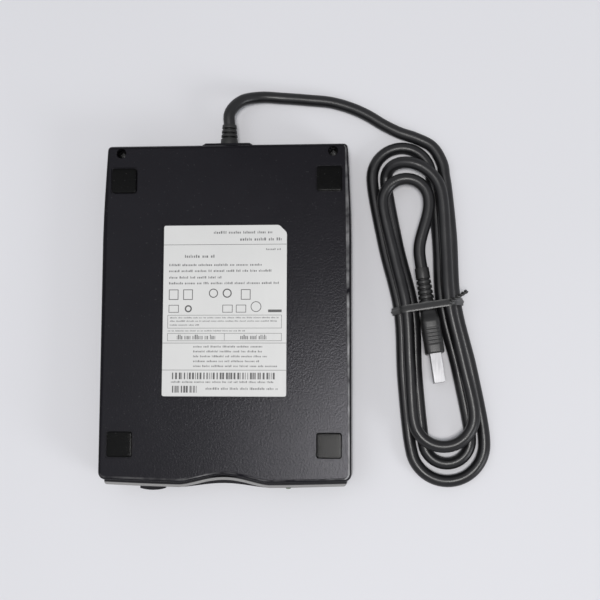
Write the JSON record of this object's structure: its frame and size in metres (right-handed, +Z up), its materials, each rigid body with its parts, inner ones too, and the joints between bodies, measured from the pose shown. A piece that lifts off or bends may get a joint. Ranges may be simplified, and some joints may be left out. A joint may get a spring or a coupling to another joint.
{
  "type": "external floppy disk drive",
  "caption": "Slim external floppy disk drive lying on its top cover, underside with feet and label up, its lead tied in a hank beside it.",
  "frame": {"origin": "on the surface the drive lies on, under the middle of the case", "axes": "+Y from the disk slot towards the cord's exit, +Z up out of the underside with the feet and the label, +X to the right as seen in the picture; half a turn about Y stands the drive on its feet"},
  "size_m": [0.1609, 0.1695, 0.0185],
  "materials": {
    "case": "satin, fine texture",
    "trim": "satin",
    "rubber": "matte",
    "label": "satin film",
    "cord": "satin",
    "lamp": "clear, tinted",
    "steel": "plated sheet",
    "dark_steel": "dark plated",
    "brass": "satin",
    "moulding": "moulded",
    "white": "moulded",
    "board": "solder mask",
    "chip": "moulded",
    "ceramic": "polished",
    "copper": "lacquered wire",
    "film": "clear film"
  },
  "bodies": {
    "case": {"bottom_cover": "case", "top_cover": "case", "front_bezel": "case", "cord_strain_relief": "trim", "usb_plug_grip": "trim", "cord_tie": "trim", "foot_front_left": "rubber", "foot_front_right": "rubber", "foot_rear_left": "rubber", "foot_rear_right": "rubber", "rating_label": "label", "cord_lead": "cord", "cord_hank": "cord", "cord_tail": "cord", "led_lens": "lamp", "flap_spring": "steel", "usb_plug_shell": "steel", "drive_chassis": "steel", "chassis_cover": "steel", "eject_spring_left": "steel", "eject_spring_right": "steel", "guide_rod": "steel", "stepper_motor": "steel", "case_screw_left": "dark_steel", "case_screw_right": "dark_steel", "spindle_bearing": "brass", "switch_block": "moulding", "usb_plug_tongue": "white", "cord_connector": "white", "motor_board": "board", "interface_board": "board", "usb_chip": "chip", "driver_chip": "chip", "spindle_stator": "copper", "flat_cable": "film"},
    "flap": {"slot_flap": "trim"},
    "slider": {"slide_plate": "dark_steel", "eject_button": "case"},
    "holder": {"disk_holder": "steel"},
    "lever": {"latch_lever": "dark_steel"},
    "rotor": {"spindle_rotor": "steel", "drive_pin": "brass"},
    "carriage": {"head_carriage": "moulding", "lower_head": "ceramic", "head_arm_spring": "steel"},
    "arm": {"upper_head_arm": "steel", "upper_head": "ceramic"},
    "screw": {"lead_screw": "steel"},
    "plunger_left": {"switch_plunger_left": "white"},
    "plunger_right": {"switch_plunger_right": "white"}
  },
  "joints": [
    {"name": "flap_hinge", "type": "hinge", "parent": "case", "child": "flap", "pos_m": [0, -0.06535, 0.00305], "axis": [-1, 0, 0], "range_deg": [0, 85], "stiffness_Nm_per_rad": 0.0008, "springref_deg": -17.19},
    {"name": "eject_slide", "type": "slide", "parent": "case", "child": "slider", "axis": [0, -1, 0], "range_m": [0, 0.004]},
    {"name": "holder_lift", "type": "slide", "parent": "case", "child": "holder", "axis": [0, 0, 1], "range_m": [0, 0.0024]},
    {"name": "latch_pivot", "type": "hinge", "parent": "case", "child": "lever", "pos_m": [-0.034, 0.038, 0.0054], "axis": [0, 0, 1], "range_deg": [0, 25]},
    {"name": "spindle_turn", "type": "hinge", "parent": "case", "child": "rotor", "pos_m": [0, -0.018, 0.01], "axis": [0, 0, 1], "continuous": true},
    {"name": "carriage_travel", "type": "slide", "parent": "case", "child": "carriage", "axis": [0, -1, 0], "range_m": [0, 0.0148]},
    {"name": "head_arm_pivot", "type": "hinge", "parent": "carriage", "child": "arm", "pos_m": [0, 0.045, 0.0052], "axis": [-1, 0, 0], "range_deg": [0, 10]},
    {"name": "lead_screw_turn", "type": "hinge", "parent": "case", "child": "screw", "pos_m": [0.01, 0.03, 0.0122], "axis": [0, 1, 0], "range_deg": [0, 1780]},
    {"name": "left_switch_travel", "type": "slide", "parent": "case", "child": "plunger_left", "axis": [0, 0, 1], "range_m": [0, 0.0008], "stiffness_N_per_m": 150, "springref_m": -0.001},
    {"name": "right_switch_travel", "type": "slide", "parent": "case", "child": "plunger_right", "axis": [0, 0, 1], "range_m": [0, 0.0008], "stiffness_N_per_m": 150, "springref_m": -0.001}
  ],
  "couplings": [
    {"joint": "holder_lift", "follows": "eject_slide", "ratio": 0.6},
    {"joint": "latch_pivot", "follows": "eject_slide", "rad_per_m": 109},
    {"joint": "head_arm_pivot", "follows": "eject_slide", "rad_per_m": 43.6},
    {"joint": "lead_screw_turn", "follows": "carriage_travel", "rad_per_m": 2094.4}
  ]
}
